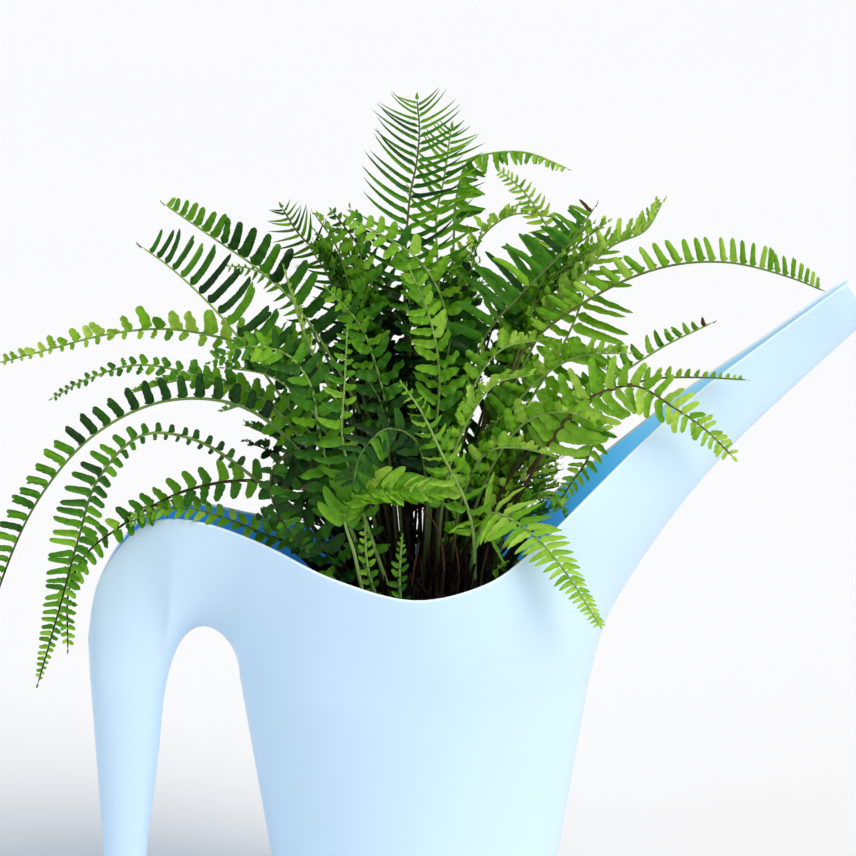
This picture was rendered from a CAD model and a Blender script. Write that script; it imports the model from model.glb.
"""A sword fern in a one-piece plastic watering can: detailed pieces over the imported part.

Sizes are in millimetres until a mesh is made. +Z is up and +X runs towards the spout.
"""

import math

import bpy
import numpy as np
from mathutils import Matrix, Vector, noise


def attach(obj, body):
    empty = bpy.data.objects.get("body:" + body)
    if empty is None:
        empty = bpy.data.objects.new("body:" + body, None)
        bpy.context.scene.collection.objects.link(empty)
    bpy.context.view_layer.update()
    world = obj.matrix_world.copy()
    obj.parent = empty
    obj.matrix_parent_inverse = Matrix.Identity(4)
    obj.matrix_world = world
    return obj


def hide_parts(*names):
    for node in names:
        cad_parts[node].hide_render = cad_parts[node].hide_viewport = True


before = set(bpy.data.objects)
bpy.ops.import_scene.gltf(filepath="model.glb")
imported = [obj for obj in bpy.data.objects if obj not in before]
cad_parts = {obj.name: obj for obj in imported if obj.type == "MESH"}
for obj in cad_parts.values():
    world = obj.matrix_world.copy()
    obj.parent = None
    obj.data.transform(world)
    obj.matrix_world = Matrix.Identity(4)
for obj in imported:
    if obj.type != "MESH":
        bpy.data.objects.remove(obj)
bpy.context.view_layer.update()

MM = 0.001
UP = np.array([0.0, 0.0, 1.0])
FRONT = (0, -1, 0)

# Driving sizes of the can, as in the part's source. Half sizes are at z = 0 and grow by their flare
WALL = 1.8
BODY = {"length": 54.3, "depth": 41, "length_flare": 0.169, "depth_flare": 0.08}
WAIST = 104
ARCH_RISE = 23
LEG = {
    "tip": 12, "tip_round": 8, "back": -126.8, "back_lean": -0.066,
    "front": -114.5, "front_lean": 0.121, "depth": 5, "depth_flare": 0.065,
}
# Underside of the spout, from the body's wall out to the lower lip, as x and z
UNDERSIDE = [
    (71.9, 104), (78.5, 128.6), (90.6, 150.9), (109.5, 178.3), (131.6, 204), (157, 228.8),
    (185.5, 255.4),
]
# The rim as x, z and half the opening's width: four steps over the leg, two over the arch,
# six over the body and six along the spout
RIM = [
    (-134.4, 121, 0), (-131, 140, 5), (-122, 158, 8), (-111, 170, 11), (-99, 173.7, 15.2),
    (-85, 172.6, 19), (-71, 168.7, 23), (-58, 164.4, 29.5), (-33, 154.9, 43), (0, 148.2, 52),
    (30, 154.3, 48), (50, 167.2, 38.5), (58.3, 174.5, 34.5), (67, 182.5, 30.5),
    (77, 191.8, 25.5), (92, 205.7, 19), (114.6, 225, 11.5), (143, 245.7, 6.5), (176, 270, 6.2),
]
ARCH_START = 4
BODY_START = 6
SPOUT_START = 12
RIM_END = len(RIM) - 1
SPOUT_SQUARENESS = 2.5
SQUARENESS_BLEND = 3

# Light that comes through the thin plastic, on the inside: by the leg, and at the spout's foot
GLOW = (0.22, 0.33)

# Finer grid of the can's skin
LINES_PER_STEP = 8
STEPS_UP = 26
STEPS_BELOW = 14
STEPS_ROUND = 6
BASE_ROUND = 2.5
BASE_BAND = 0.5
LIP_STEPS = 6
WAIST_BLEND = 30
BLEND_PASSES = 60
BLEND_FROM = (-132, -122)
BLEND_TO = (-84, -72)

# The soil's mound, and the lumps and crumbs on it
SOIL = {"length": 68.6, "depth": 46, "edge": 121, "mound": 17, "inset": 2.5}
SOIL_GAP = 0.3
SOIL_SIDES = 150
SOIL_RINGS = 46
LUMP = {"height": 2.2, "size": 9.0}
CRUMB = {"height": 1.1, "size": 3.2}

# Sizes that all fronds share
RIB = {"foot": 1.0, "tip": 0.34, "sides": 8, "steps": 90, "sunk": 3.0, "lift": 1.5}
# Lengths of a blade's leaflets, as shares of the longest: at its foot, from where to where it opens
# out, how much it loses to the tip, and the power that says how late
OUTLINES = {
    "plain": (0.6, 0, 0.25, 0.86, 1.8),
    "steady": (0.9, 0, 0.1, 0.75, 2.5),
    "even": (0.8, 0, 0.15, 0.7, 10),
    "tapering": (0.9, 0, 0.06, 0.82, 1),
    "fan": (1, 0, 0.06, 0.88, 0.65),
    "swelling": (0.22, 0.2, 0.62, 0.95, 1.6),
}
SEED = 41
# Old stalk stumps stand packed in the crown
CROWN = {"middle": (5, -4), "length": 44, "depth": 31, "height": 140, "widest": (52, 36)}
STUMPS = {
    "count": 560, "height": (10, 44), "radius": (0.35, 0.95), "lean": 0.2, "splay": 0.014,
    "reach": 1.3, "tone": 0.14,
}
# Thin roots wander over the soil, up to a share of its size
ROOTS = {
    "count": 150, "steps": (5, 11), "step": 3.2, "curl": 0.8, "edge": 0.86, "lift": (-0.6, 2.4),
    "radius": (0.14, 0.3),
}
DRY_STALK_RADIUS = 0.45
# Stalks are dark and scaly below this band of heights, in metres, but for those that stay green
STALK_DARK = (0.155, 0.214)
GREEN_STALK = 0.2
# Side veins of a leaflet and how they slant, and the share of light that comes through it
VEINS = 11.0
VEIN_SLANT = 0.9
THROUGH = 0.22
# Small fronds: how many, their heading in degrees, how far out and how high their tips are, the
# longest leaflet, the stalk's share of the rib, and their tone. UNDERGROWTH fills the plant's middle
UNDERGROWTH = [
    (24, (0, 360), (14, 50), (205, 255), (8, 12.5), 0.45, -0.6),
    (12, (-35, 25), (42, 68), (188, 228), (8, 12.5), 0.3, 1),
    (18, (-22, 26), (42, 64), (180, 206), (8, 12.5), 0.3, 1),
    (7, (-25, 25), (34, 48), (150, 170), (8, 12.5), 0.2, 0.3),
    (9, (155, 205), (40, 58), (166, 196), (8, 12.5), 0.3, -0.3),
    (6, (-15, 15), (54, 64), (170, 192), (9, 12.5), 0.3, 0.5),
    (6, (165, 195), (60, 75), (198, 216), (8, 12), 0.5, -0.2),
]

# These stand higher, between the large fronds
YOUNG_FRONDS = [
    (10, (0, 100), (14, 50), (250, 290), (12, 17), 0.6, 0.1),
    (8, (-8, 16), (56, 80), (274, 298), (12, 16), 0.65, 0.3),
    (8, (155, 190), (26, 50), (282, 304), (12, 16), 0.62, 0),
]
SMALL_FROND = {
    "depth": 0.8, "steps": 24, "root": (4, 18), "bend": 0.12, "fold": (10, 45), "sweep": 15,
    "tone": 0.15, "blunt": (0.4, 0.9), "climb": ((0.4, 0.55), (0.72, 0.9), (1.0, 1.0)),
    "look": {"wild": 0.9, "cover": 0.9, "stalk": 0.7},
}
# Leaflets darken by DEPTH_TONE towards the shaded middle of the plant, which is as large as SHADED
MIDDLE = np.array([-4.0, 10.0, 200.0])
SHADED = np.array([1.25, 0.85, 1.35])
DEPTH = (22, 66)
DEPTH_TONE = 0.8
# The shortest and the longest leaflet at a frond's tip
TIP_LEAFLET = (1.8, 3.2)
# A frond whose left row lags by less than this has pairs of like leaflets
TWIN_STAGGER = 0.1
# The rib at its root and its very end, where the blade ends, and how the pitch shrinks to the tip
RIB_ROOT = 1.15
RIB_END = 0.08
BLADE_END = 0.985
PITCH_LOSS = 0.6
# Thin scales on the lower stalk
SCALES = {
    "count": 42, "top": 0.6, "reach": 0.55, "length": (1.6, 4.2), "width": (0.12, 0.3),
    "form": np.array([[0, 1], [0.5, 0.8], [1, 0.05]]),
}

# The grid of a leaflet, which is coarser below a length
LEAFLET_STEPS = 18
SMALL_LEAFLET_STEPS = 10
SMALL_LEAFLET = 9.0
ACROSS = np.array([-1.0, -0.55, 0.0, 0.55, 1.0])
# How a pointed and a blunt leaflet end: the power of the outline and the root taken of it
POINTED = (2.2, 0.95)
BLUNT = (12, 0.5)
# A leaflet's ear and the cut across from it, its teeth, waves and cupping
EAR = {"height": 0.42, "place": 0.1, "width": 0.055}
CUT = {"depth": 0.3, "width": 0.09}
TEETH = 0.075
# How much a leaflet tapers between two shares of its length, and how narrow it starts
TAPER = (0.2, 0.15, 0.85)
STEM = {"length": 0.05, "width": 0.12, "power": 0.6}
WAVES = (2.2, 3.4)
WAVE_HEIGHT = (0.16, 0.26)
CUPPING = (0.15, 0.75)
# The spread of an angle in degrees: in the tamest leaflet, and what the wildest has on top
SCATTER = {"sickle": (3, 14), "droop": (4, 26), "fold": (3, 16), "sweep": (3, 10)}
# The shortest and narrowest leaflet of a tame frond, how much less a wild one has, and the most
LEAST_LENGTH = (0.96, 0.3)
LEAST_WIDTH = (0.95, 0.25)
MOST = 1.05
TONE_SPREAD = 0.2
BURNT_SHARE = 0.05

# How the leaflets of a frond look, where its own entry says nothing else. pitch is the step
# between leaflets, cover their width as a share of it, tone runs from -1, dark and bluish, to 1,
# pale yellow-green, brighten adds to the tone at the tip, blunt runs from 0 to 1, sickle, droop
# and twist bend a leaflet, in degrees, burnt is the share of the frond's tip that has gone brown,
# stalk colours the rib, wild from 0 to 1 is how irregular the leaflets are, stagger is how far the
# left row lags, as a share of the pitch, and skew leans the right row back and the left row on
PLAIN = dict(pitch=6.4, cover=0.78, tone=0, brighten=0.22, blunt=0.45, sickle=16, droop=14, twist=10,
    burnt=0, stalk=0.35, wild=0.5, stagger=0.42, skew=0)


def frond(root, via, wide=0, bare=1, fold=0, sweep=0, outline="steady", face=None, rows=(1, 1), **look):
    """A stalk from its root in the soil via the points that its rib runs through"""
    return dict(root=root, via=via, wide=wide, bare=bare, fold=fold, sweep=sweep, outline=outline,
        face=face, rows=rows, look={**PLAIN, **look})


# The fronds, as in the part's source: root, via, the longest leaflet, the stalk's share of the rib,
# how far the leaflets are folded up and lean to the tip, and what differs from the usual. face is
# where the upper side looks, and rows are the lengths of the two rows
FRONDS = [
    frond((3, 7), [(1, 11, 200), (-4, 12, 260), (-2, 13, 302), (1, 14, 318), (2, 15, 331), (1, 15, 343)],
        25, 0.55, 10, 20, outline="even", face=FRONT, wild=0.1, pitch=5, cover=0.5, tone=-0.1,
        blunt=0.05, sickle=24, droop=4, stalk=0.8),
    frond((12, 14), [(14, 26, 225), (16, 29, 280), (17, 31, 298), (22, 34, 314), (31, 36, 317),
        (46, 38, 317), (63, 40, 310)], 15, 0.68, -60, -10, outline="tapering", wild=0.4, pitch=4.6,
        cover=0.75, brighten=1, blunt=0.4),
    frond((15, 8), [(34, 12, 230), (54, 14, 268), (57, 14, 283), (51, 13, 296), (44, 12, 306),
        (35, 12, 314)], 10, 0.6, 10, 15, face=FRONT, wild=0.3, pitch=4.6, cover=0.6, tone=0.55,
        blunt=0.3),
    frond((9, -6), [(16, -10, 200), (28, -14, 249), (44, -16, 269), (61, -16, 287), (73, -15, 304)], 29,
        0.43, 65, 3, wild=0.3, pitch=8.4, cover=0.54, tone=-0.05, blunt=0.6, sickle=-18, burnt=0.04,
        stalk=0.7),
    frond((15, 4), [(36, 5, 215), (60, 5, 262), (80, 4, 284), (94, 3, 291), (101, 3, 303)], 18, 0.5, 40,
        20, pitch=5.4, cover=0.9, tone=0.7, blunt=0.7),
    frond((11, -1), [(24, -3, 200), (44, -4, 242), (77, -3, 267), (103, 1, 276.5), (128, 4, 277.5),
        (152, 8, 271), (168, 12, 264)], 11, 0.4, 78, -20, outline="even", wild=0.12, pitch=6, cover=0.66,
        tone=0.4, blunt=0.8, sickle=-4, droop=-6, stagger=0.04, stalk=0.7),
    frond((19, 5), [(42, 8, 190), (72, 10, 220), (100, 11, 240), (122, 12, 251)], 12, 0.45, 75, -10,
        wild=0.3, pitch=6.5, cover=0.62, tone=0.2, blunt=0.4, stagger=0.06, burnt=0.1),
    frond((20, -7), [(44, -13, 190), (72, -16, 224), (95, -17, 233), (115, -17, 234), (135, -17, 233)],
        14, 0.45, 72, 10, outline="fan", wild=0.3, pitch=5.4, cover=0.66, tone=0.6, stagger=0.05,
        stalk=0.8),
    frond((22, -11), [(44, -20, 188), (68, -25, 225), (89, -27, 232.5), (104, -28, 224.5),
        (118, -28, 214.5), (129, -28, 203.5)], 22, 0.45, 15, 15, outline="tapering", face=FRONT,
        wild=0.55, pitch=5.6, cover=0.85, tone=0.6, blunt=0.9, stalk=0.9),
    frond((20, -16), [(25, -26, 166), (31, -34, 181), (41, -40, 179), (52, -46, 171), (62, -50, 159),
        (75, -53, 139)], 21, 0.4, 8, 12, outline="fan", face=(0, -0.8, 0.6), wild=0.12, pitch=3.9,
        cover=0.88, tone=0.6, blunt=0.3, sickle=8, droop=6, skew=24, stalk=0),
    frond((18, -11), [(38, -12, 190), (60, -9, 213), (73, -8, 212), (71, -8, 199), (64, -8, 188),
        (57, -9, 177)], 11, 0.55, 15, 15, outline="plain", face=FRONT, wild=0.4, pitch=5,
        cover=0.75, tone=0.4, stalk=0.8),
    frond((-7, -3), [(-18, -5, 205), (-46, -6, 259), (-64, -6, 277), (-78, -6, 287), (-101, -5, 303)], 18,
        0.5, 78, 5, wild=0.2, pitch=6.6, cover=0.84, tone=-0.3, brighten=0.7, blunt=0.85, sickle=6,
        stagger=0.03),
    frond((-12, -8), [(-26, -12, 185), (-55, -16, 227), (-78, -18, 259), (-98, -18, 279),
        (-110, -18, 288)], 21, 0.4, 78, 0, outline="even", wild=0.15, pitch=7.4, cover=0.62, tone=-0.4,
        blunt=0.7, sickle=12, stagger=0.03),
    frond((-13, 3), [(-32, -2, 205), (-52, -4, 236), (-72, -5, 246), (-100, -7, 252), (-125, -8, 250),
        (-148, -8, 244), (-170, -8, 238)], 17, 0.42, 20, 15, outline="tapering", face=FRONT,
        rows=(1, 0.45), wild=0.6, pitch=7.4, cover=0.95, tone=0.55, blunt=0.85, sickle=8, twist=12),
    frond((-18, -8), [(-34, -15, 188), (-60, -19, 224), (-84, -21, 234), (-111, -21, 240),
        (-133, -21, 234), (-147, -20, 226)], 13, 0.42, 20, 15, outline="fan", face=(0, -0.9, 0.4),
        wild=0.6, pitch=5.8, cover=0.95, tone=0.25, brighten=-0.3, blunt=0.85, twist=12),
    frond((-17, -13), [(-34, -20, 186), (-66, -26, 222), (-98, -28, 227), (-128, -29, 214),
        (-152, -30, 187), (-168, -30, 152), (-176, -30, 122)], 10, 0.35, 78, 5, outline="even", wild=0.15,
        pitch=6.8, cover=0.6, tone=-0.5, brighten=1.2, blunt=0.8, sickle=4, stagger=0.03, stalk=0.45),
    frond((-20, -17), [(-42, -23, 174), (-62, -27, 192), (-88, -32, 211), (-110, -36, 214),
        (-128, -38, 196), (-136, -40, 172), (-144, -41, 143), (-153, -42, 112)], 20, 0.35, 12, 8,
        outline="swelling", face=FRONT, rows=(1, 0.6), wild=0.15, pitch=5.2, cover=0.76, tone=-0.35,
        brighten=0.85, blunt=0.9, sickle=2, stalk=0.45),
    frond((-22, -5), [(-42, -8, 176), (-63, -10, 189), (-90, -8, 186), (-108, -8, 178), (-121, -11, 170),
        (-133, -14, 161), (-141, -15, 146), (-142, -16, 120)], 9, 0.3, 25, 10, face=(0, -1, 0.4),
        wild=0.25, pitch=6.6, cover=0.72, brighten=0.4, blunt=0.7, stagger=0.2, stalk=1),
    frond((-24, -13), [(-44, -15, 161), (-62, -13, 168), (-76, -13, 174), (-91, -12, 178),
        (-104, -11, 177.5), (-117, -13, 172.5)], 8, 0.3, 8, 10, outline="even", face=(0, -0.4, 0.9),
        wild=0.25, pitch=5.6, cover=0.8, tone=0.35, blunt=0.6),
    frond((-15, -17), [(-32, -23, 184), (-48, -28, 205), (-57, -30, 199), (-58, -31, 188),
        (-52, -32, 175), (-44, -33, 166)], 17, 0.4, 20, 0, face=FRONT, rows=(0.35, 1), wild=0.4,
        pitch=6, cover=0.9, tone=-0.3, blunt=0.8, droop=30, stalk=0.8),
    frond((-13, -20), [(-31, -33, 190), (-38, -37, 213), (-42, -40, 236), (-52, -42, 249),
        (-68, -44, 252), (-82, -45, 246)], 14, 0.3, 15, 20, face=(0, -1, 0.4), wild=0.4, pitch=7,
        cover=0.8, tone=-0.1, blunt=0.6, stalk=0.1),
    frond((-7, -21), [(-22, -35, 186), (-29, -41, 214), (-28, -43, 238), (-27, -44, 259)], 14, 0.25, 12,
        8, face=FRONT, rows=(0.55, 1), wild=0.4, pitch=8.2, cover=0.58, tone=0.15, sickle=24,
        stalk=0),
    frond((24, -20), [(24, -36, 172), (20, -44, 190), (11, -47, 209), (3, -48, 226), (-5, -48, 238)], 15,
        0.35, 10, 15, outline="plain", face=FRONT, wild=0.55, pitch=6.6, cover=0.5, tone=0.35,
        blunt=0.3, sickle=24, droop=30, twist=26, stalk=0),
    frond((-18, -30), [(-24, -38, 164), (-28, -42, 184), (-20, -44, 192), (-4, -45, 193), (12, -45, 192)],
        15, 0.5, 20, 35, face=(0, -0.8, 0.6), rows=(0.8, 1), wild=0.12, pitch=3.6, cover=1.6, tone=0.35,
        blunt=0.5, sickle=38, droop=30, stalk=0),
    frond((-12, -27), [(-19, -36, 160), (-20, -39, 180)], 6, 0.3, 20, 25, outline="plain",
        face=FRONT, wild=0.6, pitch=5, cover=0.6, tone=0.25, stalk=0.05),
    frond((-5, -31), [(-6, -38, 156), (-5, -40, 173)], 6, 0.25, 20, 30, outline="plain", face=FRONT,
        wild=0.6, pitch=4.6, cover=0.6, stalk=0.1),
    frond((2, -19), [(5, -34, 190), (0, -43, 214), (-11, -47, 219), (-21, -49, 210), (-25, -50, 196)], 11,
        0.55, 10, 15, outline="even", face=FRONT, wild=0.2, pitch=5.6, tone=-0.35, blunt=0.6,
        stalk=0.6),
    frond((13, -17), [(20, -26, 188), (30, -30, 206), (42, -32, 208), (56, -33, 205)], 12, 0.45, 60, 15,
        outline="plain", wild=0.6, pitch=6, cover=0.9, tone=0.7, blunt=0.7),
    frond((5, -3), [(13, -7, 215), (12, -10, 262), (2, -11, 281), (-10, -12, 290), (-27, -12, 299)], 14,
        0.5, 15, 10, face=(0, -1, 0.3), pitch=8, cover=0.82, tone=0.25, blunt=0.7),
    frond((-4, 1), [(-13, 4, 205), (-23, 6, 245), (-27, 7, 258), (-35, 9, 276), (-47, 10, 288),
        (-54, 10, 299)], 15, 0.45, 15, 20, outline="even", face=FRONT, wild=0.3, pitch=5.2,
        cover=0.5, tone=-0.15, blunt=0, stalk=0.9),
    frond((-1, 6), [(-5, 16, 210), (-5, 18, 252), (-18, 20, 275), (-27, 21, 287), (-34, 21, 296)], 16,
        0.5, 15, 15, outline="plain", face=FRONT, wild=0.4, pitch=7, cover=0.62, tone=-0.3,
        blunt=0.15, stalk=0.9),
    frond((-8, -8), [(-28, -13, 214), (-44, -17, 250), (-53, -19, 280)], 8, 0.55, 30, 30, outline="plain",
        wild=1, pitch=3.6, cover=0.5, tone=0.95, twist=40, stalk=0.1),
    frond((9, 9), [(16, 18, 215), (18, 21, 262), (27, 22, 284), (40, 22, 294), (58, 22, 293)], 15, 0.5,
        60, 15, outline="plain", wild=0.6, pitch=7, cover=0.75, tone=0.6, blunt=0.4, twist=20),
    frond((18, 1), [(40, 9, 205), (60, 11, 240), (69, 12, 262), (72, 12, 284)], 23, 0.4, 10, -3,
        outline="even", face=FRONT, rows=(1, 0.6), wild=0.4, pitch=7, cover=0.75, tone=0.3,
        blunt=0.5, sickle=8),
    frond((14.5, -9.5), [(30, -22, 195), (46, -26, 218), (62, -28, 222), (79, -29, 214)], 15, 0.4, 45, 15,
        wild=0.8, cover=0.9, tone=0.45, blunt=0.8),
    frond((16, -4), [(32, -7, 205), (48, -9, 229), (66, -10, 241), (87, -11, 243)], 15, 0.4, 60, 5,
        wild=0.8, cover=0.9, tone=0.45, blunt=0.8),
    frond((10, -11), [(17, -18, 205), (26, -21, 235), (36, -22, 247), (53, -22, 251)], 15, 0.4, 50, 10,
        wild=0.9, pitch=7, cover=0.9, tone=0.5, blunt=0.7),
    frond((4, -13), [(8, -24, 205), (10, -29, 240), (6, -31, 262), (-2, -32, 282)], 15, 0.4, 15, 25,
        face=FRONT, wild=0.8, pitch=7, cover=0.85, tone=0.3, blunt=0.6),
    frond((-3, -12), [(-8, -22, 200), (-14, -27, 235), (-22, -29, 258), (-35, -30, 273)], 15, 0.4, 15, 20,
        face=FRONT, wild=0.9, pitch=7, cover=0.85, blunt=0.6),
    frond((8, -20), [(13, -31, 195), (22, -37, 221), (33, -39, 236), (48, -40, 240)], 15, 0.4, 40, 15,
        wild=0.8, cover=0.9, tone=0.55, blunt=0.8),
    frond((-12, -13), [(-26, -19, 190), (-42, -23, 222), (-58, -25, 236), (-77, -26, 240)], 15, 0.4, 50,
        15, wild=0.8, cover=0.9, tone=-0.3),
    frond((26, -15), [(38, -22, 172), (50, -23, 185), (58, -22, 183), (63, -22, 174)], 12, 0.45, 30, 15,
        outline="plain", wild=0.7, pitch=5, cover=0.9, tone=0.4, blunt=0.7),
    frond((-3, 10), [(-6, 24, 205), (-12, 42, 245), (-18, 62, 258), (-24, 84, 252)], 18, 0.35, 35, 15,
        outline="plain", wild=0.4, tone=-0.3),
    frond((5, 12), [(10, 26, 205), (18, 46, 243), (24, 66, 254), (30, 88, 246)], 18, 0.35, 35, 15,
        outline="plain", wild=0.4, tone=-0.1),
    frond((-9, 9), [(-22, 22, 195), (-42, 38, 228), (-58, 52, 236), (-77, 67, 228)], 20, 0.35, 40, 15,
        outline="plain"),
    frond((15, 12), [(28, 22, 192), (50, 36, 222), (66, 48, 228), (83, 61, 220)], 19, 0.35, 40, 15,
        outline="plain", wild=0.4, tone=-0.25),
    frond((-15, 8), [(-32, 16, 180), (-50, 28, 205), (-64, 38, 212), (-80, 50, 206)], 17, 0.35, 40, 15,
        outline="plain"),
    frond((-25, -22), [(-33, -27, 158), (-42, -27, 172), (-53, -24, 178), (-64, -20, 175)], 14, 0.3, 15,
        10, face=FRONT, wild=0.6, cover=0.95, tone=-0.2, droop=30),
    frond((0, 16), [(-2, 36, 180), (-4, 56, 203), (-6, 72, 203), (-8, 89, 184)], 18, 0.35, 30, 15,
        outline="plain"),
    frond((-11, 15), [(-24, 34, 176), (-38, 52, 194), (-48, 66, 190), (-59, 80, 168)], 16, 0.35, 30, 15,
        outline="plain", wild=0.4, tone=-0.2),
    frond((8, 19), [(22, 36, 174), (34, 52, 190), (43, 64, 186), (53, 78, 164)], 16, 0.35, 30, 15,
        outline="plain"),
    frond((-20, 5), [(-44, 12, 186), (-68, 20, 216), (-92, 26, 224), (-117, 30, 218)], 12, 0.4, 60, 15,
        outline="plain", wild=0.4, pitch=5.2, tone=0.2),
    frond((7, 4), [(9, 14, 200), (10, 18, 262), (9, 20, 294), (12, 21, 309), (15, 22, 330)], 19, 0.6, 10,
        22, outline="even", face=FRONT, wild=0.2, pitch=5.4, cover=0.48, tone=0.1, blunt=0.05,
        sickle=20),
    frond((-9, 4), [(-30, 5, 225), (-40, 6, 245), (-47, 7, 259), (-57, 8, 269), (-67, 9, 274),
        (-76, 10, 275)], 15, 0.5, 10, 5, outline="tapering", face=FRONT, rows=(0.4, 1), wild=0.2,
        pitch=5.6, cover=0.5, tone=0.1, blunt=0.1, sickle=14),
]
DRY_STALKS = [
    frond((8, -27), [(12, -33, 158), (9, -36, 176), (3, -37, 184)]),
    frond((28, -26), [(27, -31, 152), (30, -34, 168)]),
    frond((-2, -25), [(-1, -31, 152), (2, -35, 170)]),
    frond((15, -22), [(18, -30, 156), (16, -35, 172)]),
]

def lerp(a, b, share):
    return a + (b - a) * share


def smoothstep(x, low, high):
    share = np.clip((x - low) / (high - low), 0, 1)
    return share * share * (3 - 2 * share)


def unit(v):
    return v / np.linalg.norm(v, axis=-1, keepdims=True)


def dot(a, b):
    return np.sum(a * b, axis=-1, keepdims=True)


def turned(a, b, angle):
    """Direction a, turned towards b by an angle"""
    return a * np.cos(angle) + b * np.sin(angle)


def segment(p0, p1, p2, p3, share, centripetal):
    """A point between p1 and p2 of a Catmull-Rom curve"""
    if centripetal:
        d0, d1, d2 = (math.sqrt(np.linalg.norm(b - a)) for a, b in ((p0, p1), (p1, p2), (p2, p3)))
        start = ((p1 - p0) / d0 - (p2 - p0) / (d0 + d1) + (p2 - p1) / d1) * d1
        end = ((p2 - p1) / d1 - (p3 - p1) / (d1 + d2) + (p3 - p2) / d2) * d1
    else:
        start = (p2 - p0) / 2
        end = (p3 - p1) / 2
    square = -3 * p1 + 3 * p2 - 2 * start - end
    cube = 2 * p1 - 2 * p2 + start + end
    return p1 + (start + (square + cube * share) * share) * share


def spline_point(points, place, centripetal=False):
    """The point at a place, which counts the points, of the curve through them"""
    points = np.asarray(points, float)
    ends = 2 * points[0] - points[1], 2 * points[-1] - points[-2]
    padded = np.vstack([ends[0], points, ends[1]])
    i = min(int(place), len(points) - 2)
    return segment(*padded[i:i + 4], place - i, centripetal)


def ring_point(left, right, depth, turn, z):
    """A point of an upright ellipse's near side, turn 0 at its left end and 1 at its right"""
    angle = math.pi * (1 - turn)
    x = (left + right) / 2 + (right - left) / 2 * math.cos(angle)
    return np.array([x, -depth * abs(math.sin(angle)), z])


def body_ring(z, turn, inset=0.0):
    length = BODY["length"] + BODY["length_flare"] * z - inset
    return ring_point(-length, length, BODY["depth"] + BODY["depth_flare"] * z - inset, turn, z)


def leg_ring(z, turn):
    """The leg's ring, drawn in to a round tip"""
    drop = max(0.0, LEG["tip"] + LEG["tip_round"] - z) / LEG["tip_round"]
    shrink = math.sqrt(max(0.0, 1 - drop * drop))
    back = LEG["back"] + LEG["back_lean"] * z
    front = LEG["front"] + LEG["front_lean"] * z
    middle = (back + front) / 2
    half = (front - back) / 2 * shrink
    depth = (LEG["depth"] + LEG["depth_flare"] * z) * shrink
    return ring_point(middle - half, middle + half, depth, turn, z)


def line_foot(k):
    """The lower end of a line of the upper skin, at rim step k"""
    if k <= ARCH_START:
        return leg_ring(WAIST, k / ARCH_START)
    if k <= BODY_START:
        turn = (k - ARCH_START) / (BODY_START - ARCH_START)
        front = LEG["front"] + LEG["front_lean"] * WAIST
        wall = -BODY["length"] - BODY["length_flare"] * WAIST
        arch = ring_point(front, wall, ARCH_RISE, turn, 0)
        return np.array([arch[0], 0, WAIST - arch[1]])
    if k <= SPOUT_START:
        return body_ring(WAIST, (k - BODY_START) / (SPOUT_START - BODY_START))
    x, z = spline_point(UNDERSIDE, k - SPOUT_START)
    return np.array([x, 0, z])


def upper_line(k, rises):
    """A line of the upper skin, from its foot, rise 0, to the rim, rise 1"""
    foot = line_foot(k)
    rim_x, rim_z, rim_half = spline_point(RIM, k)
    power = 2 / lerp(2, SPOUT_SQUARENESS, smoothstep(k, SPOUT_START, SPOUT_START + SQUARENESS_BLEND))
    up = 1 - np.clip(np.cos(rises * math.pi / 2), 0, 1) ** power
    out = np.sin(rises * math.pi / 2) ** (2 * power)
    depth = np.sqrt(lerp(foot[1] ** 2, rim_half ** 2, out))
    return np.stack([lerp(foot[0], rim_x, up), -depth, lerp(foot[2], rim_z, up)], axis=-1)


def grid_faces(rows, columns, first=0):
    """Quads of a grid of points that are kept row by row"""
    corner = np.arange(rows - 1)[:, None] * columns + np.arange(columns - 1)[None, :] + first
    around = [corner, corner + 1, corner + columns + 1, corner + columns]
    return np.stack(around, axis=-1).reshape(-1, 4)


def weld(points, faces):
    """Points in one place become one, and a face that loses corners becomes smaller or goes"""
    keys = np.round(points * 500).astype(int)
    _, kept, index = np.unique(keys, axis=0, return_index=True, return_inverse=True)
    index = index.ravel()
    welded = []
    for face in faces:
        corners = [int(index[i]) for i in face]
        corners = [c for i, c in enumerate(corners) if c != corners[i - 1]]
        if len(corners) > 2:
            welded.append(corners)
    return points[kept], welded


def outer_skin():
    """The can's outer skin without its base: near side, then mirrored far side"""
    rounding = np.linspace(0, math.pi / 2, STEPS_ROUND + 1)
    below = np.linspace(0, 1, STEPS_BELOW + 1)[1:]
    leg_round = LEG["tip"] + LEG["tip_round"]
    leg_heights = [LEG["tip"] + LEG["tip_round"] * (1 - math.cos(a)) for a in rounding]
    leg_heights += [lerp(leg_round, WAIST, share) for share in below]
    body_heights = [(BASE_ROUND * (1 - math.cos(a)), BASE_ROUND * (1 - math.sin(a))) for a in rounding]
    body_heights += [(lerp(BASE_ROUND, WAIST, share), 0.0) for share in below]
    leg_turns = np.linspace(0, 1, ARCH_START * LINES_PER_STEP + 1)
    body_turns = np.linspace(0, 1, (SPOUT_START - BODY_START) * LINES_PER_STEP + 1)
    lines = np.linspace(0, RIM_END, RIM_END * LINES_PER_STEP + 1)
    rises = np.linspace(0, 1, STEPS_UP + 1)
    grids = [
        np.array([[leg_ring(z, turn) for turn in leg_turns] for z in leg_heights]),
        np.array([[body_ring(z, turn, inset) for turn in body_turns] for z, inset in body_heights]),
        np.stack([upper_line(k, rises) for k in lines], axis=1),
    ]
    points, faces, count = [], [], 0
    for grid in grids:
        rows, columns = grid.shape[:2]
        near = grid_faces(rows, columns, count)
        size = rows * columns
        points += [grid.reshape(-1, 3), grid.reshape(-1, 3) * [1, -1, 1]]
        faces += [near, near[:, ::-1] + size]
        count += 2 * size
    return weld(np.vstack(points), np.vstack(faces))


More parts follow.
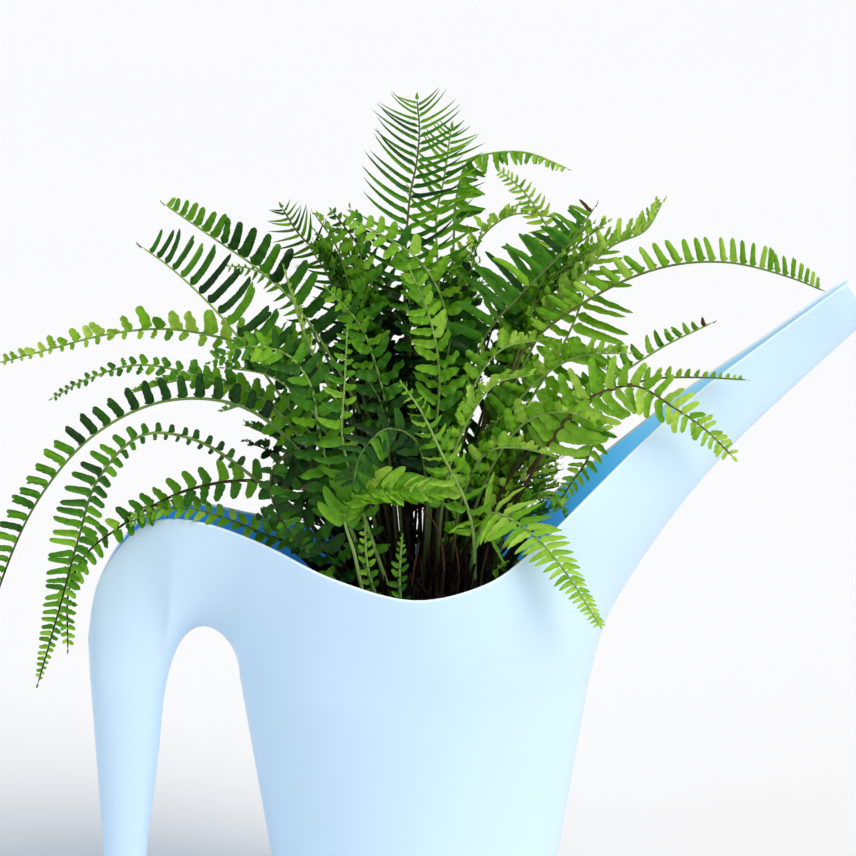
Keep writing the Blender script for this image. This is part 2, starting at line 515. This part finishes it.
def as_quads(faces):
    return np.array([face if len(face) == 4 else face + face[-1:] for face in faces])


def vertex_normals(points, quads):
    a, b, c, d = (points[quads[:, i]] for i in range(4))
    normal = np.cross(c - a, d - b)
    total = np.zeros_like(points)
    for i in range(4):
        np.add.at(total, quads[:, i], normal)
    return unit(total)


def open_edges(faces):
    """Directed edges that only one face uses"""
    edges = {}
    for face in faces:
        for a, b in zip(face, face[1:] + face[:1]):
            if edges.pop((b, a), None) is None:
                edges[(a, b)] = True
    return list(edges)


def soften_waist(points, faces, fixed):
    """Evens out the skin where the leg runs into the arch"""
    pairs = {(a, b) for face in faces for a, b in zip(face, face[1:] + face[:1])}
    pairs = np.array(sorted(pairs | {(b, a) for a, b in pairs}))
    counts = np.bincount(pairs[:, 0], minlength=len(points))[:, None]
    strength = 1 - smoothstep(np.abs(points[:, 2] - WAIST), 0, WAIST_BLEND)
    strength = strength * smoothstep(points[:, 0], *BLEND_FROM) * (1 - smoothstep(points[:, 0], *BLEND_TO))
    strength[list(fixed)] = 0
    for _ in range(BLEND_PASSES):
        total = np.zeros_like(points)
        np.add.at(total, pairs[:, 0], points[pairs[:, 1]])
        points = points + (total / counts - points) * strength[:, None] * 0.5
    return points


def watering_can():
    """The outer skin, the same skin set in by the wall, a rounded lip between them, and the floor"""
    outer, faces = outer_skin()
    edges = open_edges(faces)
    outer = soften_waist(outer, faces, {v for edge in edges for v in edge})
    normals = vertex_normals(outer, as_quads(faces))
    inner = outer - normals * WALL
    inner[outer[:, 2] < BASE_BAND, 2] = WALL
    count = len(outer)
    made = [list(face) for face in faces] + [[v + count for v in face[::-1]] for face in faces]
    points = [outer, inner]
    count *= 2
    lip = [(a, b) for a, b in edges if outer[a][2] > WAIST]
    base = [(a, b) for a, b in edges if outer[a][2] <= WAIST]
    outward = {}
    for a, b in lip:
        along = unit(outer[b] - outer[a])
        for v in (a, b):
            outward[v] = outward.get(v, 0) + np.cross(along, normals[v])
    rows = {}
    for v, direction in outward.items():
        middle = (outer[v] + inner[v]) / 2
        half = outer[v] - middle
        angles = np.linspace(0, math.pi, LIP_STEPS + 1)[1:-1, None]
        points.append(middle + half * np.cos(angles) + unit(direction) * WALL / 2 * np.sin(angles))
        rows[v] = [v, *range(count, count + LIP_STEPS - 1), v + len(outer)]
        count += LIP_STEPS - 1
    for a, b in lip:
        for i in range(LIP_STEPS):
            made.append([rows[b][i], rows[a][i], rows[a][i + 1], rows[b][i + 1]])
    points.append(np.array([[0, 0, 0], [0, 0, WALL]]))
    for a, b in base:
        made.append([b, a, count])
        made.append([a + len(outer), b + len(outer), count + 1])
    inside = np.zeros(count + 2)
    inside[len(outer):2 * len(outer)] = 1
    edge = np.zeros(count + 2)
    edge[2 * len(outer):count] = 1
    return np.vstack(points), made, {"inside": inside, "lip": edge}


def soil_height(x, y):
    out = (x / SOIL["length"]) ** 2 + (y / SOIL["depth"]) ** 2
    return SOIL["edge"] + SOIL["mound"] * np.maximum(0, 1 - out)


def lumps(x, y):
    """Height of the lumps and crumbs on the soil"""
    height = 0.0
    for kind in (LUMP, CRUMB):
        height += kind["height"] * noise.noise(Vector((x / kind["size"], y / kind["size"], kind["size"])))
    return height


def potting_soil():
    """Rings up the can's inside, then the lumpy mound"""
    angles = np.linspace(0, 2 * math.pi, SOIL_SIDES + 1)
    round_x = np.cos(angles)
    round_y = np.sin(angles)
    rows = []
    for z in (WALL + SOIL_GAP, WAIST):
        length = BODY["length"] + BODY["length_flare"] * z - SOIL["inset"]
        depth = BODY["depth"] + BODY["depth_flare"] * z - SOIL["inset"]
        rows.append(np.stack([length * round_x, depth * round_y, np.full_like(round_x, z)], axis=-1))
    floor = np.zeros_like(rows[0])
    floor[:, 2] = WALL + SOIL_GAP
    rows.insert(0, floor)
    for share in np.linspace(1, 0, SOIL_RINGS):
        x = SOIL["length"] * share * round_x
        y = SOIL["depth"] * share * round_y
        bumps = np.array([lumps(px, py) for px, py in zip(x, y)]) * (1 - smoothstep(share, 0.9, 1))
        rows.append(np.stack([x, y, soil_height(x, y) + bumps], axis=-1))
    grid = np.array(rows)
    return weld(grid.reshape(-1, 3), grid_faces(*grid.shape[:2]))


class Path:
    """A smooth curve through points, read by shares of its length"""

    def __init__(self, points, samples=40):
        places = np.linspace(0, len(points) - 1, (len(points) - 1) * samples + 1)
        self.points = np.array([spline_point(points, place, True) for place in places])
        steps = np.linalg.norm(np.diff(self.points, axis=0), axis=1)
        self.length = steps.sum()
        self.reach = np.concatenate([[0], np.cumsum(steps)]) / self.length

    def at(self, shares):
        return np.stack([np.interp(shares, self.reach, self.points[:, i]) for i in range(3)], axis=-1)

    def heading(self, shares, step=0.006):
        return unit(self.at(np.minimum(shares + step, 1)) - self.at(np.maximum(shares - step, 0)))


def rib_axes(path, plant, shares):
    """Forward, side and upper directions of a rib"""
    forward = path.heading(shares)
    if plant["face"] is None:
        outward = path.points[-1] - path.points[0]
        outward[2] = 0
        aim = np.cross(unit(outward), UP)
        side = unit(aim - forward * dot(forward, aim))
    else:
        face = np.array(plant["face"], float)
        side = unit(np.cross(forward, face - forward * dot(forward, face)))
    return forward, side, np.cross(side, forward)


def tube(centres, side, upper, radii, sides):
    """Points and quads of a tube that is closed at its far end by a narrow last ring"""
    angles = np.linspace(0, 2 * math.pi, sides, endpoint=False)
    ring = side[:, None] * np.cos(angles)[None, :, None] + upper[:, None] * np.sin(angles)[None, :, None]
    points = centres[:, None] + ring * radii[:, None, None]
    row = np.arange(len(centres) - 1)[:, None] * sides
    i = np.arange(sides)[None, :]
    j = (i + 1) % sides
    quads = np.stack([row + i, row + i + sides, row + j + sides, row + j], axis=-1)
    return points.reshape(-1, 3), quads.reshape(-1, 4)


def leaflet_length(plant, blade, hand):
    foot, start, full, fall, lateness = OUTLINES[plant["outline"]]
    opening = lerp(foot, 1, smoothstep(blade, start, full))
    row = plant["rows"][0 if hand > 0 else 1]
    return plant["wide"] * row * opening * (1 - fall * blade ** lateness)


def leaflet_halves(along, width, look):
    """Half widths of a leaflet at each place along it, for each line across it"""
    power, root = (lerp(a, b, share) for a, b, share in zip(
        POINTED, BLUNT, (look["blunt"] ** 1.5, look["blunt"])))
    half = width / 2 * (1 - along ** power) ** root
    half = half * (1 - TAPER[0] * smoothstep(along, *TAPER[1:]))
    half = half * np.clip(along / STEM["length"], STEM["width"], 1) ** STEM["power"]
    teeth = 1 - TEETH * (np.arange(len(along)) % 2)
    ear = 1 + EAR["height"] * np.exp(-((along - EAR["place"]) / EAR["width"]) ** 2)
    cut = 1 - CUT["depth"] * np.exp(-(along / CUT["width"]) ** 2)
    halves = np.where(ACROSS > 0, (half * ear)[:, None], (half * cut)[:, None])
    return halves * np.where(abs(ACROSS) == 1, teeth[:, None], 1)


def scattered(kind, middle, look, rng):
    """An angle in radians, drawn about its middle"""
    tame, wild = SCATTER[kind]
    return math.radians(rng.normal(middle, tame + wild * look["wild"]))


def leaflet(base, reach, forward, hand, length, width, look, rng):
    """Points, quads and facts of a leaflet: a grooved, toothed blade with an ear on its upper side"""
    steps = SMALL_LEAFLET_STEPS if length < SMALL_LEAFLET else LEAFLET_STEPS
    along = np.linspace(0, 1, steps + 1)
    across = unit(forward - reach * dot(forward, reach))
    upper = np.cross(reach, across) * hand
    twist = math.radians(rng.normal(4, look["twist"] * (1 + look["wild"])))
    across, upper = turned(across, upper, twist), turned(upper, across, -twist)
    sickle = scattered("sickle", look["sickle"], look, rng) * along[:, None] ** 1.3
    droop = scattered("droop", look["droop"], look, rng) * along[:, None] ** 1.5
    ahead = turned(turned(reach, across, sickle), upper, -droop)
    widthwise = turned(across, reach, -sickle)
    lifted = unit(np.cross(ahead, widthwise)) * hand
    ways = np.cumsum((ahead[1:] + ahead[:-1]) / 2, axis=0)
    middle = base + np.vstack([np.zeros(3), ways]) * length / steps
    halves = leaflet_halves(along, width, look)
    phases = rng.uniform(0, 2 * math.pi, 2)
    turns = along[:, None] * rng.uniform(*WAVES) * 2 * math.pi
    ripple = np.sin(turns + np.where(ACROSS > 0, *phases))
    wave = WAVE_HEIGHT[0] + WAVE_HEIGHT[1] * look["wild"]
    edge = np.abs(ACROSS)
    lift = halves * (rng.uniform(*CUPPING) * edge + wave * ripple * edge ** 2)
    points = middle[:, None] + widthwise[:, None] * (ACROSS * halves)[..., None]
    points = points + lifted[:, None] * lift[..., None]
    facts = {"along": np.repeat(along, len(ACROSS)), "across": np.tile(ACROSS, steps + 1)}
    quads = grid_faces(steps + 1, len(ACROSS))
    return points.reshape(-1, 3), quads if hand > 0 else quads[:, ::-1], facts


class Piece:
    """Points, quads and facts of a mesh while it grows"""

    def __init__(self):
        self.points = []
        self.faces = []
        self.facts = []
        self.count = 0

    def add(self, points, faces, **facts):
        self.points.append(points)
        self.faces.append(faces + self.count)
        self.facts.append({name: np.broadcast_to(value, len(points)) for name, value in facts.items()})
        self.count += len(points)


def rib_radius(share):
    return lerp(RIB["foot"], RIB["tip"], share ** 0.8)


def add_scales(piece, path, plant, rng):
    """Thin brown scales that stand off the lower part of a stalk"""
    stalk = min(plant["bare"], SCALES["top"])
    for share in rng.uniform(0.0, stalk * SCALES["reach"], SCALES["count"]) ** 1.15:
        forward, side, upper = (axis[0] for axis in rib_axes(path, plant, np.array([share])))
        out = turned(side, upper, rng.uniform(0, 2 * math.pi))
        flat = unit(np.cross(forward, out))
        start = path.at(np.array([share]))[0] + out * RIB["foot"] * 0.8
        reach = SCALES["form"][:, :1] * rng.uniform(*SCALES["length"])
        spread = flat * (SCALES["form"][:, 1:] * rng.uniform(*SCALES["width"]))
        middle = start + forward * (reach * 0.8) + out * (reach ** 1.5 * 0.3)
        points = np.stack([middle - spread, middle + spread], axis=1).reshape(-1, 3)
        piece.add(points, grid_faces(3, 2), along=0, across=0, tone=0, burnt=rng.uniform(0.75, 1), rib=1)


def grow_leaflet(piece, path, plant, spot, hand, pitch, rng):
    """The leaflet at a spot of the blade, from 0 to 1, in the row on the side axis for hand 1"""
    look = plant["look"]
    wild = look["wild"]
    share = np.array([plant["bare"] + (1 - plant["bare"]) * spot])
    ahead, beside, above = (axis[0] for axis in rib_axes(path, plant, share))
    shortest, narrowest = (least - loss * wild for least, loss in (LEAST_LENGTH, LEAST_WIDTH))
    length = leaflet_length(plant, spot, hand) * rng.uniform(shortest, MOST)
    width = pitch * look["cover"] * rng.uniform(narrowest, MOST)
    width = min(width, 0.5 * length + 0.8)
    fold = scattered("fold", plant["fold"], look, rng)
    lean = plant["sweep"] + 6 * spot - hand * look["skew"]
    sweep = scattered("sweep", lean, look, rng)
    reach = unit(turned(turned(beside * hand, above, fold), ahead, sweep))
    base = path.at(share)[0] + unit(beside * hand + above * 0.3) * rib_radius(share[0]) * 0.8
    points, quads, facts = leaflet(base, reach, ahead, hand, length, width, look, rng)
    shaded = 1 - smoothstep(np.linalg.norm((base - MIDDLE) / SHADED), *DEPTH)
    tone = look["tone"] + rng.normal(0, TONE_SPREAD) + look["brighten"] * spot ** 2 - DEPTH_TONE * shaded
    burnt = smoothstep(spot, 1 - look["burnt"], 1 - look["burnt"] / 2) if look["burnt"] else 0.0
    if rng.random() < BURNT_SHARE:
        burnt = np.maximum(burnt, smoothstep(facts["along"], rng.uniform(0.7, 0.9), 1))
    piece.add(points, quads, tone=tone, burnt=burnt, rib=0, **facts)


def grow_frond(piece, plant, rng, steps=RIB["steps"]):
    """One frond: a round rib, scales, its leaflets in alternate rows, and a leaflet at the tip"""
    look = plant["look"]
    x, y = plant["root"]
    ground = float(soil_height(x, y))
    path = Path([(x, y, ground + RIB["lift"]), *plant["via"]])
    shares = np.linspace(0, 1, steps + 1)
    centres = np.vstack([[x, y, ground - RIB["sunk"]], path.at(shares)])
    forward, side, upper = (np.vstack([axis[:1], axis]) for axis in rib_axes(path, plant, shares))
    radii = rib_radius(shares)
    radii = np.append(radii[0] * RIB_ROOT, radii)
    radii[-1] = RIB_END
    points, quads = tube(centres, side, upper, radii, RIB["sides"])
    stalk = np.repeat(np.append(0, shares), RIB["sides"])
    piece.add(points, quads, along=stalk, across=0, tone=look["tone"], burnt=0, rib=1)
    add_scales(piece, path, plant, rng)
    blade_length = path.length * (1 - plant["bare"])
    place = 0.0
    while place < BLADE_END:
        pitch = look["pitch"] * (1 - PITCH_LOSS * place ** 2)
        seed = rng.integers(2 ** 31)
        for hand, offset in ((1, 0.0), (-1, look["stagger"])):
            draws = np.random.default_rng(seed) if look["stagger"] < TWIN_STAGGER else rng
            spot = min(place + offset * pitch / blade_length, 0.99)
            grow_leaflet(piece, path, plant, spot, hand, pitch, draws)
        place += pitch / blade_length
    ahead, beside, above = (axis[-1] for axis in rib_axes(path, plant, np.array([1.0])))
    length = float(np.clip(0.7 * leaflet_length(plant, 1.0, 1), *TIP_LEAFLET))
    points, quads, facts = leaflet(path.points[-1], ahead, beside, 1, length, 0.5 * length, look, rng)
    piece.add(points, quads, tone=look["tone"] + 0.3, burnt=float(look["burnt"] > 0), rib=0, **facts)


def small_fronds(kinds, rng):
    """Many small fronds, whose kinds are told as in UNDERGROWTH"""
    piece = Piece()
    for count, *kind in kinds:
        for heading, reaches, tips, lengths, bare, tone in [kind] * count:
            turn = math.radians(rng.uniform(*heading))
            out = np.array([math.cos(turn), math.sin(turn)])
            reach = rng.uniform(*reaches) * math.hypot(out[0], out[1] * SMALL_FROND["depth"])
            tip = rng.uniform(*tips)
            root = out * rng.uniform(*SMALL_FROND["root"])
            bend = out[::-1] * [1, -1] * rng.normal(0, SMALL_FROND["bend"]) * reach
            via = []
            for share, rise in SMALL_FROND["climb"]:
                x, y = root + (out * reach - root) * share + bend * share ** 2
                via.append((x, y, lerp(CROWN["height"], tip, rise)))
            plant = frond(
                tuple(root), via, rng.uniform(*lengths), bare, rng.uniform(*SMALL_FROND["fold"]),
                SMALL_FROND["sweep"], tone=tone + rng.normal(0, SMALL_FROND["tone"]),
                blunt=rng.uniform(*SMALL_FROND["blunt"]), **SMALL_FROND["look"],
            )
            grow_frond(piece, plant, rng, SMALL_FROND["steps"])
    return piece


def add_strand(piece, points, radius, **facts):
    """A thin round strand through points"""
    path = Path(points, 8)
    centres = path.points
    forward = unit(np.gradient(centres, axis=0))
    side = unit(np.cross(forward, [0.31, 0.17, 0.93]))
    radii = np.full(len(centres), radius)
    radii[-1] = radius * 0.2
    made, quads = tube(centres, side, np.cross(side, forward), radii, 5)
    share = np.repeat(np.linspace(0, 1, len(centres)), 5)
    piece.add(made, quads, along=share, across=0, **facts)


def crown_litter():
    """Old stalk stumps, thin curly roots and dead scraps in the crown and on the soil"""
    rng = np.random.default_rng(SEED)
    piece = Piece()
    for _ in range(STUMPS["count"]):
        turn = rng.uniform(0, 2 * math.pi)
        out = math.sqrt(rng.uniform(0, 1))
        x = CROWN["length"] * out * math.cos(turn) + CROWN["middle"][0]
        y = CROWN["depth"] * out * math.sin(turn) + CROWN["middle"][1]
        z = float(soil_height(x, y)) - 2
        height = rng.uniform(*STUMPS["height"]) * (1.25 - 0.7 * out)
        lean = rng.normal(0, STUMPS["lean"], 2) + np.array([x, y]) * STUMPS["splay"]
        tip = np.array([x, y]) + lean * height * STUMPS["reach"]
        tip /= max(1, math.hypot(tip[0] / CROWN["widest"][0], tip[1] / CROWN["widest"][1]))
        bend = lerp(np.array([x, y]), tip, 0.4)
        points = [(x, y, z), (*bend, z + height * 0.55), (*tip, z + height)]
        radius = rng.uniform(*STUMPS["radius"])
        add_strand(piece, points, radius, tone=rng.uniform(0, STUMPS["tone"]) ** 1.3)
    for _ in range(ROOTS["count"]):
        turn = rng.uniform(0, 2 * math.pi)
        out = 0.25 + 0.6 * math.sqrt(rng.uniform(0, 1))
        x = SOIL["length"] * out * math.cos(turn) * 0.8
        y = SOIL["depth"] * out * math.sin(turn)
        heading = rng.uniform(0, 2 * math.pi)
        points = []
        for _ in range(rng.integers(*ROOTS["steps"])):
            lift = rng.uniform(*ROOTS["lift"])
            points.append((x, y, float(soil_height(x, y)) + lumps(x, y) + lift))
            heading += rng.normal(0, ROOTS["curl"])
            x += ROOTS["step"] * math.cos(heading)
            y += ROOTS["step"] * math.sin(heading)
            if (x / SOIL["length"]) ** 2 + (y / SOIL["depth"]) ** 2 > ROOTS["edge"]:
                break
        if len(points) > 2:
            add_strand(piece, points, rng.uniform(*ROOTS["radius"]), tone=rng.uniform(0.3, 1))
    return piece


class Graph:
    """A material's node tree, with short calls for its nodes"""

    def __init__(self, name):
        self.material = bpy.data.materials.new(name)
        self.material.use_nodes = True
        self.tree = self.material.node_tree
        self.tree.nodes.clear()
        self.coordinates = self.node("ShaderNodeTexCoord").outputs["Object"]

    def node(self, kind, inputs=None, **settings):
        made = self.tree.nodes.new(kind)
        for name, value in settings.items():
            setattr(made, name, value)
        for name, value in (inputs or {}).items():
            self.put(made.inputs[name], value)
        return made

    def put(self, socket, value):
        if isinstance(value, bpy.types.NodeSocket):
            self.tree.links.new(value, socket)
        elif isinstance(value, tuple) and len(value) == 3 and socket.type == "RGBA":
            socket.default_value = (*value, 1)
        else:
            socket.default_value = value

    def fact(self, name):
        return self.node("ShaderNodeAttribute", attribute_name=name).outputs["Fac"]

    def math(self, operation, a, b=0.0):
        return self.node("ShaderNodeMath", {0: a, 1: b}, operation=operation).outputs[0]

    def times(self, a, b):
        return self.math("MULTIPLY", a, b)

    def place(self, axis):
        return self.node("ShaderNodeSeparateXYZ", {"Vector": self.coordinates}).outputs[axis]

    def spread(self, value, low, high, start=0.0, end=1.0):
        names = {"Value": value, "From Min": low, "From Max": high, "To Min": start, "To Max": end}
        return self.node("ShaderNodeMapRange", names).outputs["Result"]

    def mix(self, share, a, b, blend="MIX"):
        made = self.node("ShaderNodeMix", data_type="RGBA", blend_type=blend)
        for i, value in ((0, share), (6, a), (7, b)):
            self.put(made.inputs[i], value)
        return made.outputs[2]

    def noise(self, scale, detail=3.0, roughness=0.55):
        names = {"Vector": self.coordinates, "Scale": scale, "Detail": detail, "Roughness": roughness}
        return self.node("ShaderNodeTexNoise", names).outputs["Fac"]

    def ramp(self, value, stops):
        made = self.node("ShaderNodeValToRGB", {"Fac": value})
        elements = made.color_ramp.elements
        while len(elements) < len(stops):
            elements.new(0.5)
        for element, (place, colour) in zip(elements, stops):
            element.position = place
            element.color = (*colour, 1)
        return made.outputs["Color"]

    def bump(self, height, strength, distance, normal=None):
        names = {"Height": height, "Strength": strength, "Distance": distance}
        if normal:
            names["Normal"] = normal
        return self.node("ShaderNodeBump", names).outputs["Normal"]

    def surface(self, colour, roughness, more=()):
        names = {"Base Color": colour, "Roughness": roughness, **dict(more)}
        return self.node("ShaderNodeBsdfPrincipled", names).outputs[0]

    def finish(self, shader):
        out = self.node("ShaderNodeOutputMaterial")
        self.tree.links.new(shader, out.inputs["Surface"])
        return self.material


def plastic_material():
    """Satin moulded plastic with faint scuffs, orange peel and the mould's parting line"""
    g = Graph("can_plastic")
    cloud = g.noise(9.0, 2.0)
    skin = g.mix(g.spread(cloud, 0.35, 0.65), (0.555, 0.738, 0.915), (0.58, 0.758, 0.925))
    reach = g.place("X")
    inner = g.ramp(g.spread(reach, 0.04, 0.17), [
        (0.0, (0.04, 0.32, 0.80)), (0.3, (0.115, 0.58, 0.95)), (0.7, (0.46, 0.76, 0.96)),
        (1.0, (0.55, 0.78, 0.95)),
    ])
    rise = g.spread(reach, 0.02, 0.07, *GLOW)
    glow = g.math("MINIMUM", rise, g.spread(reach, 0.09, 0.15, GLOW[1], 0.0))
    colour = g.mix(g.fact("inside"), skin, inner)
    colour = g.mix(g.fact("lip"), colour, (0.80, 0.91, 0.98))
    rough = g.spread(g.noise(160.0, 5.0, 0.7), 0.3, 0.7, 0.33, 0.42)
    line = g.spread(g.math("ABSOLUTE", g.place("Y")), 0.0, 0.0004, 1.0, 0.0)
    peel = g.bump(g.noise(900.0, 2.0), 0.05, 0.0004)
    normal = g.bump(line, 0.5, 0.00025, peel)
    return g.finish(g.surface(colour, rough, {
        "Normal": normal, "IOR": 1.5, "Emission Color": colour,
        "Emission Strength": g.times(g.fact("inside"), glow),
    }))


def soil_material():
    """Dark crumbly potting mix with paler fibres"""
    g = Graph("potting_mix")
    grains = g.node("ShaderNodeTexVoronoi", {"Vector": g.coordinates, "Scale": 620.0}).outputs["Distance"]
    coarse = g.noise(140.0, 6.0, 0.7)
    colour = g.ramp(coarse, [
        (0.3, (0.008, 0.005, 0.004)), (0.55, (0.03, 0.017, 0.01)), (0.78, (0.085, 0.05, 0.03)),
    ])
    height = g.math("ADD", g.times(grains, 0.6), coarse)
    return g.finish(g.surface(colour, 0.95, {"Normal": g.bump(height, 0.9, 0.0012)}))


def litter_material():
    """Dry brown stalks and pale roots, streaked along their length"""
    g = Graph("dry_litter")
    grain = g.noise(420.0, 4.0, 0.65)
    dry = g.ramp(g.fact("tone"), [
        (0.0, (0.006, 0.003, 0.002)), (0.5, (0.08, 0.034, 0.018)), (1.0, (0.40, 0.27, 0.17)),
    ])
    colour = g.mix(g.spread(grain, 0.35, 0.7, 0.0, 0.6), dry, (0.02, 0.011, 0.007))
    normal = g.bump(grain, 0.5, 0.0004)
    return g.finish(g.surface(colour, 0.9, {"Normal": normal, "Specular IOR Level": 0.15}))


def leaf_material(name, stalk):
    """Satin leaf with a paler midrib, fine side veins and brown ends, over a rib of its own colour"""
    g = Graph(name)
    along = g.fact("along")
    beside = g.math("ABSOLUTE", g.fact("across"))
    blotch = g.noise(260.0, 3.0, 0.6)
    shade = g.math("ADD", g.spread(g.fact("tone"), -1.0, 1.0), g.spread(blotch, 0.3, 0.7, -0.05, 0.05))
    blade = g.ramp(shade, [
        (0.0, (0.002, 0.010, 0.003)), (0.22, (0.007, 0.042, 0.004)), (0.38, (0.018, 0.100, 0.004)),
        (0.5, (0.048, 0.205, 0.004)), (0.72, (0.150, 0.380, 0.012)), (1.0, (0.38, 0.60, 0.08)),
    ])
    slant = g.math("SUBTRACT", g.times(along, VEINS), g.times(beside, VEIN_SLANT))
    veins = g.spread(g.math("SINE", g.times(slant, 2 * math.pi)), 0.55, 1.0)
    midrib = g.spread(beside, 0.02, 0.16, 1.0, 0.0)
    paler = g.mix(1.0, blade, (1.5, 1.25, 1.5), "MULTIPLY")
    pale = g.math("MAXIMUM", g.times(veins, 0.5), midrib)
    blade = g.mix(g.times(pale, 0.6), blade, paler)
    fibre = g.spread(g.noise(300.0, 3.0), 0.3, 0.7, -0.08, 0.08)
    stem = g.ramp(g.math("ADD", g.spread(along, 0.0, 1.0, stalk, stalk - 0.35), fibre), [
        (0.0, (0.30, 0.46, 0.12)), (0.35, (0.13, 0.24, 0.045)), (0.7, (0.12, 0.06, 0.022)),
        (1.0, (0.045, 0.018, 0.016)),
    ])
    old = g.spread(g.place("Z"), *STALK_DARK, 0.92 if stalk > GREEN_STALK else 0.15, 0.0)
    stem = g.mix(old, stem, (0.007, 0.004, 0.003))
    green = g.mix(g.fact("rib"), blade, stem)
    colour = g.mix(g.fact("burnt"), green, (0.10, 0.038, 0.014))
    relief = g.math("ADD", g.times(veins, -0.4), g.times(midrib, -1.0))
    normal = g.bump(relief, 0.45, 0.0003, g.bump(g.noise(1500.0, 2.0), 0.12, 0.0002))
    rough = g.spread(blotch, 0.3, 0.7, 0.34, 0.5)
    front = g.surface(colour, rough, {"Normal": normal, "Specular IOR Level": 0.22})
    glow = g.mix(1.0, colour, (1.7, 1.4, 0.4), "MULTIPLY")
    through = g.node("ShaderNodeBsdfTranslucent", {"Color": glow, "Normal": normal})
    mixed = g.node("ShaderNodeMixShader", {0: THROUGH, 1: front, 2: through.outputs[0]})
    return g.finish(mixed.outputs[0])


def floor_material():
    g = Graph("studio_floor")
    colour = g.mix(g.noise(1.5, 2.0), (0.90, 0.87, 0.88), (0.92, 0.885, 0.89))
    return g.finish(g.surface(colour, 0.9))


def mesh_object(name, points, faces, material, facts=None):
    mesh = bpy.data.meshes.new(name)
    mesh.from_pydata((points * MM).tolist(), [], faces if isinstance(faces, list) else faces.tolist())
    for fact, values in (facts or {}).items():
        mesh.attributes.new(fact, "FLOAT", "POINT").data.foreach_set("value", values.astype(np.float32))
    mesh.polygons.foreach_set("use_smooth", [True] * len(mesh.polygons))
    mesh.materials.append(material)
    mesh.update()
    made = bpy.data.objects.new(name, mesh)
    bpy.context.scene.collection.objects.link(made)
    return made


def grown_object(name, piece, material):
    names = piece.facts[0].keys()
    facts = {fact: np.concatenate([part[fact] for part in piece.facts]) for fact in names}
    return mesh_object(name, np.vstack(piece.points), np.vstack(piece.faces), material, facts)


def dress(made, node=None):
    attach(made, "root")
    if node:
        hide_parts(node)


# The camera comes first, at the photograph's angle
IMAGE = 856
MM_PER_PIXEL = 0.409
TARGET = np.array([5.5, 0, 209.4])
DISTANCE = 3000
ELEVATION = math.radians(12)
SENSOR = 36

camera = bpy.data.objects.new("camera", bpy.data.cameras.new("camera"))
bpy.context.scene.collection.objects.link(camera)
back = np.array([0, -math.cos(ELEVATION), math.sin(ELEVATION)])
camera.location = Vector((TARGET + back * DISTANCE) * MM)
camera.rotation_euler = (math.pi / 2 - ELEVATION, 0, 0)
camera.data.sensor_width = SENSOR
camera.data.lens = SENSOR * DISTANCE / (IMAGE * MM_PER_PIXEL)
bpy.context.scene.camera = camera

plastic = plastic_material()
can_points, can_faces, can_facts = watering_can()
can = mesh_object("watering_can_fine", can_points, can_faces, plastic, can_facts)
dress(can, "watering_can")
dress(mesh_object("potting_soil_fine", *potting_soil(), soil_material()), "potting_soil")
litter = litter_material()
dress(grown_object("crown_litter", crown_litter(), litter))
leaf_materials = {}
for number, plant in enumerate(FRONDS, 1):
    stalk = plant["look"]["stalk"]
    if stalk not in leaf_materials:
        leaf_materials[stalk] = leaf_material(f"fern_leaf_{len(leaf_materials) + 1}", stalk)
    piece = Piece()
    grow_frond(piece, plant, np.random.default_rng(SEED + number))
    made = grown_object(f"frond_{number:02d}_fine", piece, leaf_materials[stalk])
    dress(made, f"frond_{number:02d}")
small_draws = np.random.default_rng(SEED)
small_leaf = leaf_materials[SMALL_FROND["look"]["stalk"]]
for small_name, kinds in (("undergrowth", UNDERGROWTH), ("young_fronds", YOUNG_FRONDS)):
    dress(grown_object(small_name, small_fronds(kinds, small_draws), small_leaf))
for number, plant in enumerate(DRY_STALKS, 1):
    piece = Piece()
    x, y = plant["root"]
    root = (x, y, float(soil_height(x, y)) - RIB["sunk"])
    add_strand(piece, [root, *plant["via"]], DRY_STALK_RADIUS, tone=0.5)
    name = f"dry_stalk_{number:02d}"
    dress(grown_object(f"{name}_fine", piece, litter), name)

# A plain pale floor and soft studio light
FLOOR = 9000.0
corners = np.array([[-1, -1, 0], [1, -1, 0], [1, 1, 0], [-1, 1, 0]]) * FLOOR
floor = mesh_object("floor", corners, [[0, 1, 2, 3]], floor_material())

world = bpy.data.worlds.new("studio")
world.use_nodes = True
sky = world.node_tree.nodes["Background"].inputs
sky["Color"].default_value = (0.76, 0.88, 1.0, 1)
sky["Strength"].default_value = 0.55
bpy.context.scene.world = world


def sun(name, place, spread, strength, colour):
    """A soft lamp that lights the whole floor alike, from the side of a place"""
    light = bpy.data.lights.new(name, "SUN")
    light.angle = math.radians(spread)
    light.energy = strength
    light.color = colour
    made = bpy.data.objects.new(name, light)
    made.rotation_euler = Vector(place).to_track_quat("Z", "Y").to_euler()
    bpy.context.scene.collection.objects.link(made)


sun("key", (1.0, -0.8, 1.15), 40, 2.75, (1.0, 0.915, 0.79))
sun("fill", (-1.2, -0.7, 0.9), 60, 0.6, (0.7, 0.9, 1.0))

bpy.context.scene.view_settings.view_transform = "Standard"
